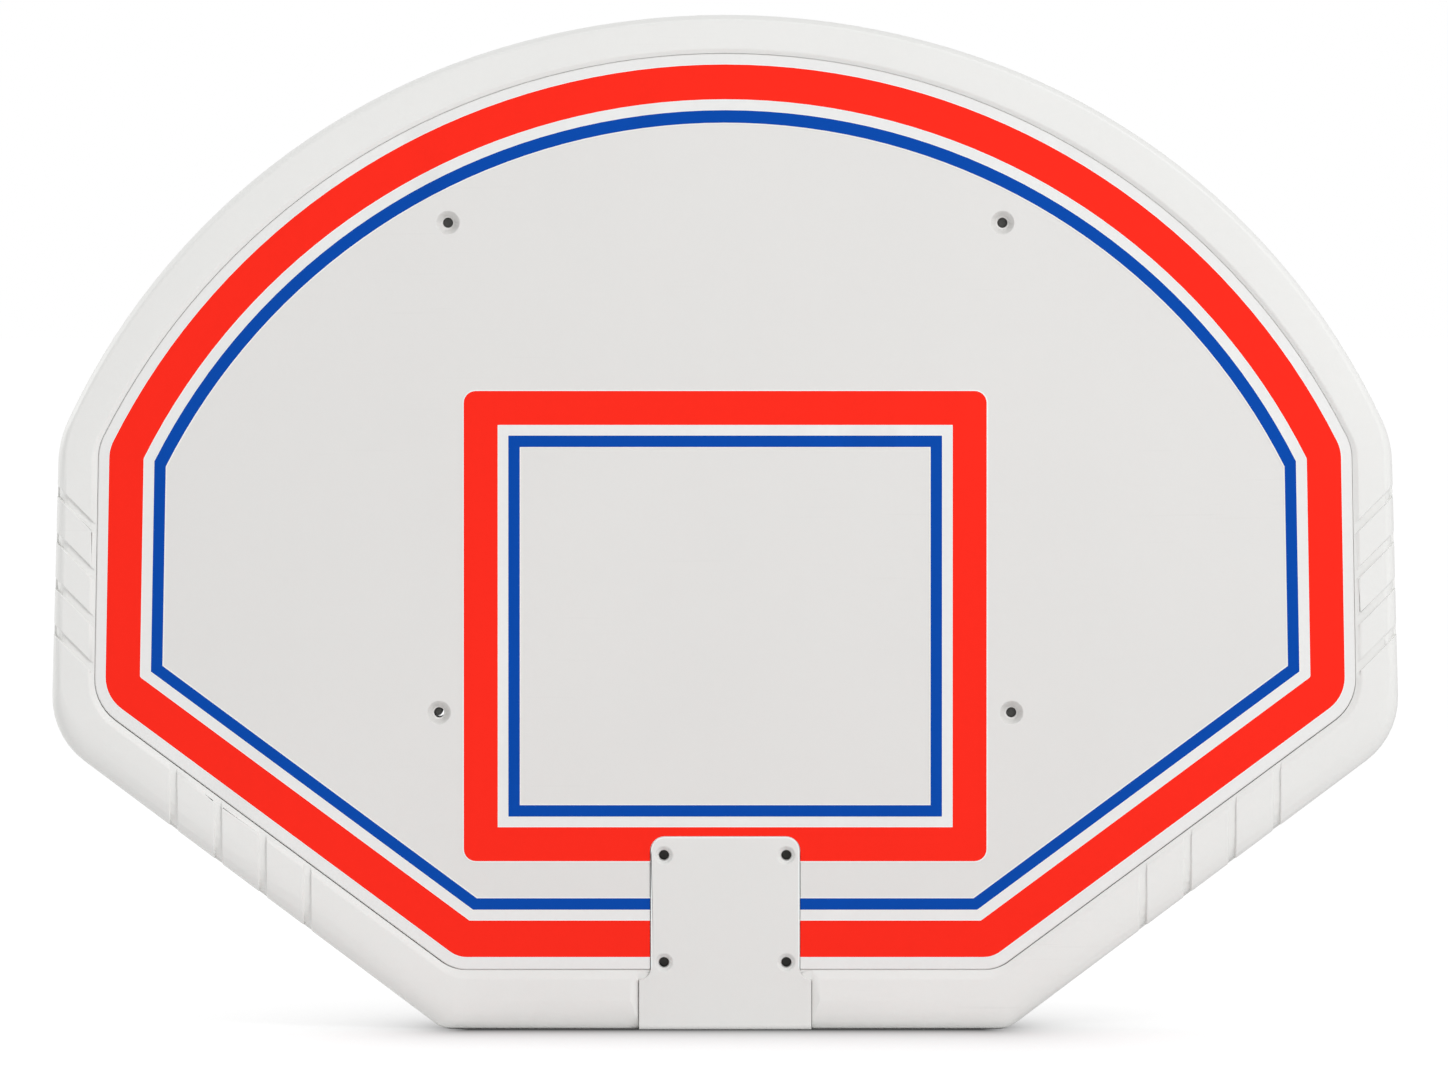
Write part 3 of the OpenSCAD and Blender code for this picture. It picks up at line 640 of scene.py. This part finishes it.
white_film = printed_film("white_film", FILM_TONE, depth=0.35, specular=0.30)
red_print = printed_film("red_print", RED, depth=0.12, specular=0.06)
blue_print = printed_film("blue_print", BLUE, depth=0.35, specular=0.06)
cool_line = printed_film("cool_line", COOL_LINE, depth=0.20, specular=0.30)
warm_line = printed_film("warm_line", WARM_LINE, depth=0.20, specular=0.30)
paint(nodes["border_film"], white_film)
paint(nodes["border_red_stripe"], red_print)
paint(nodes["border_blue_stripe"], blue_print)
keyline("border_red_stripe", "border_red_keyline", cool_line)
keyline("border_blue_stripe", "border_blue_keyline", warm_line)


# The target's print: a rectangle of the same white film on the panel, with the same inks and
# keylines, cut out where the rim block stands.
paint(nodes["target_film"], white_film)
paint(nodes["target_red_stripe"], red_print)
paint(nodes["target_blue_stripe"], blue_print)
keyline("target_red_stripe", "target_red_keyline", cool_line)
keyline("target_blue_stripe", "target_blue_keyline", warm_line)


# The rim block: a thick white moulding that fills the notch at the middle of the lower edge. It
# takes the rim's four bolts and is held from behind by four screws.
BLOCK_TONE = (229, 229, 227)
BLOCK_EDGE_R = 0.0007
BLOCK_BACK_Y = cad_low.y + 0.0165
BLOCK_CORNER_R = 0.0116

# The four bolts of the rim, which are numbered as the four of the bracket are
BOLTS = range(1, 5)

# The painted highlight along the block's edge: its width, and the heights between which it begins
EDGE_HIGHLIGHT_TONE = (246, 253, 252)
EDGE_HIGHLIGHT_W = 0.0014
EDGE_HIGHLIGHT_FROM = 0.0500
EDGE_HIGHLIGHT_FULL = EDGE_HIGHLIGHT_FROM + 0.003


def painted_edge_highlight(tree, colour):
    """A painted highlight: a pale line along the block's edge inside the panel."""
    at = add_node(tree, "ShaderNodeSeparateXYZ", {0: object_place(tree)})
    side = math_node(tree, "SUBTRACT", math_node(tree, "ABSOLUTE", at.outputs["X"]),
                     BLOCK_HALF_W - BLOCK_CORNER_R)
    top = math_node(tree, "SUBTRACT", at.outputs["Z"], BLOCK_TOP - BLOCK_CORNER_R)
    reach = length_of(tree, math_node(tree, "MAXIMUM", side), math_node(tree, "MAXIMUM", top))
    line = spread(tree, reach, BLOCK_CORNER_R - EDGE_HIGHLIGHT_W, BLOCK_CORNER_R - EDGE_HIGHLIGHT_W / 2)
    begun = spread(tree, at.outputs["Z"], EDGE_HIGHLIGHT_FROM, EDGE_HIGHLIGHT_FULL)
    return blended(tree, math_node(tree, "MULTIPLY", line, begun), colour, ink(*EDGE_HIGHLIGHT_TONE))


def middle_of(node):
    low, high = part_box(node)
    return (low + high) / 2


block_plastic = moulded_plastic("block_plastic", BLOCK_TONE, cloud=0.035, roughness=0.48,
                                pebble=0.26, scuffs=0.25, dress=painted_edge_highlight)
block_cuts = []
for i in BOLTS:
    hole = middle_of(f"rim_sleeve_{i}")
    block_cuts += [(hole, (1, 0, 0)), (hole, (0, 0, 1))]
rim_block = soft_copy("rim_block", "fitted_block", BLOCK_EDGE_R, front_rounds(BLOCK_BACK_Y),
                      block_cuts)
paint(rim_block, block_plastic)


# The rear shell: the second moulding, ribbed inside and sunk in fields between raised bands. It
# laps into the frame and is screwed to it from behind.
SHELL_TONE = (229, 228, 226)
SHELL_EDGE_R = 0.0012

# Where the face of the raised bands lies, how far a well reaches round its screw or bolt, and the
# height at which the sunk fields come to a tip
BAND_FACE_Y = cad_high.y - 0.0001
WELL_R = 0.008
FIELD_TIP_Z = 0.2098
FIELD_TIP_NEAR = 0.001


def shell_rounds(edge, turn):
    """The outer edges of the raised bands, but not those of the wells of bolts and screws."""
    if turn < ROUND_TURN or min(v.co.y for v in edge.verts) < BAND_FACE_Y:
        return False
    return not any((v.co.xz - well).length < WELL_R for v in edge.verts for well in shell_wells)


def screw_middles(node):
    """The middle of each screw of a node that holds several. A screw's corners are found from its
    first one along the edges, so its list grows while it is walked."""
    bm = welded(node)
    middles = []
    met = set()
    for start in bm.verts:
        if start in met:
            continue
        met.add(start)
        screw = [start]
        for vert in screw:
            for edge in vert.link_edges:
                other = edge.other_vert(vert)
                if other not in met:
                    met.add(other)
                    screw.append(other)
        middles.append(sum((vert.co for vert in screw), Vector()) / len(screw))
    bm.free()
    return middles


shell_plastic = moulded_plastic("shell_plastic", SHELL_TONE, cloud=0.05, roughness=0.50,
                                pebble=0.34, scuffs=0.35)
shell_wells = [middle_of(f"bracket_sleeve_{i}").xz for i in BOLTS]
shell_wells += [middle.xz for middle in screw_middles("shell_screws")]

# Each well is cut across upright and level, but a level cut at the tip of a field leaves slivers
shell_cuts = []
for well in shell_wells:
    shell_cuts.append(((well.x, 0, 0), (1, 0, 0)))
    if abs(well.y - FIELD_TIP_Z) > FIELD_TIP_NEAR:
        shell_cuts.append(((0, 0, well.y), (0, 0, 1)))
rear_shell = soft_copy("rear_shell", "back_shell", SHELL_EDGE_R, shell_rounds, shell_cuts)
paint(rear_shell, shell_plastic)


# The steel: sleeves turned from bar for the bolt holes, a pressed backing plate that is screwed
# to the shell, and the screws, all plated with zinc.
ZINC_TONE = (206, 208, 211)
ZINC_CELL_TONE = (184, 187, 191)

zinc, tree = new_material("zinc_plate")
crystals = add_node(tree, "ShaderNodeTexVoronoi", {
    "Vector": object_place(tree),
    "Scale": 160.0,
}).outputs["Distance"]
brushed = noise(tree, scale=500.0, stretch=(1, 1, 0.1))
surface(tree, {
    "Base Color": blended(tree, spread(tree, crystals, low=0.0, high=0.9), ink(*ZINC_TONE),
                          ink(*ZINC_CELL_TONE)),
    "Metallic": 1.0,
    "Roughness": spread(tree, crystals, low=0.0, high=1.0, to_low=0.28, to_high=0.46),
    "Normal": bump(tree, brushed, strength=0.25, distance=0.0001),
})
for i in BOLTS:
    paint(nodes[f"bracket_sleeve_{i}"], zinc)
    paint(nodes[f"rim_sleeve_{i}"], zinc)
paint(nodes["backing_plate"], zinc)
for screws in ("shell_screws", "block_screws", "plate_screws"):
    paint(nodes[screws], zinc)


# The hole plugs: long dark cups that fill the eight bolt holes from behind. They are dark things
# put there to stand in for the shade deep inside the holes. One is too slim for its hole and lets
# the light by.

# A plug: its dark tone, which stands in for shade, and the share of it that is left in its clouds,
# its radius, wall and two ends, the steps of its spin, and the slim one with the radius that it has
# instead
PLUG_SHADE_TONE = (98, 98, 95)
PLUG_CLOUD_TONE = 0.8
PLUG_R = 0.0041
PLUG_WALL = 0.0009
PLUG_FRONT_Y = -0.0150
PLUG_REAR_Y = cad_high.y - 0.0006
PLUG_STEPS = 32
SLIM_PLUG = "bracket_plug_3"
SLIM_R = 0.0032

# The rounding of a plug's front: how far in its flat face ends, how far back its wall begins, and
# how far in and back the point between them lies
NOSE_IN = 0.0006
NOSE_BACK = 0.0008
NOSE_MID = 0.0002


def shade_plug(name, middle, reach):
    """A cup, spun round the axis of its hole from one side of its section."""
    inner = reach - PLUG_WALL
    section = [
        (0, PLUG_FRONT_Y),
        (reach - NOSE_IN, PLUG_FRONT_Y),
        (reach - NOSE_MID, PLUG_FRONT_Y + NOSE_MID),
        (reach, PLUG_FRONT_Y + NOSE_BACK),
        (reach, PLUG_REAR_Y),
        (inner, PLUG_REAR_Y),
        (inner, PLUG_FRONT_Y + PLUG_WALL),
        (0, PLUG_FRONT_Y + PLUG_WALL),
    ]
    bm = bmesh.new()
    line = [bm.verts.new((middle.x + r, y, middle.z)) for r, y in section]
    edges = [bm.edges.new(pair) for pair in zip(line, line[1:])]
    bmesh.ops.spin(bm, geom=line + edges, cent=(middle.x, 0, middle.z), axis=(0, 1, 0),
                   angle=math.tau, steps=PLUG_STEPS, use_merge=True)
    bmesh.ops.remove_doubles(bm, verts=bm.verts, dist=WELD)
    bmesh.ops.recalc_face_normals(bm, faces=bm.faces)
    for face in bm.faces:
        face.smooth = True
    plug = made(name, bm)
    plug.data.materials.append(shade_plug_plastic)
    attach(plug, "root")


shade_plug_plastic, tree = new_material("shade_plug_plastic")
plug_cloud = noise(tree, scale=60.0)
surface(tree, {
    "Base Color": blended(tree, plug_cloud, ink(*PLUG_SHADE_TONE),
                          ink(*PLUG_SHADE_TONE, share=PLUG_CLOUD_TONE)),
    "Roughness": spread(tree, plug_cloud, low=0.0, high=1.0, to_low=0.45, to_high=0.65),
    "Normal": bump(tree, noise(tree, scale=1500.0), strength=0.3, distance=0.0001),
})
for i in BOLTS:
    for kind in ("bracket", "rim"):
        name = f"{kind}_plug_{i}"
        reach = SLIM_R if name == SLIM_PLUG else PLUG_R
        aside = (PLUG_R - reach) * math.sqrt(0.5)
        shade_plug(name, middle_of(f"{kind}_sleeve_{i}") + Vector((-aside, 0, aside)), reach)
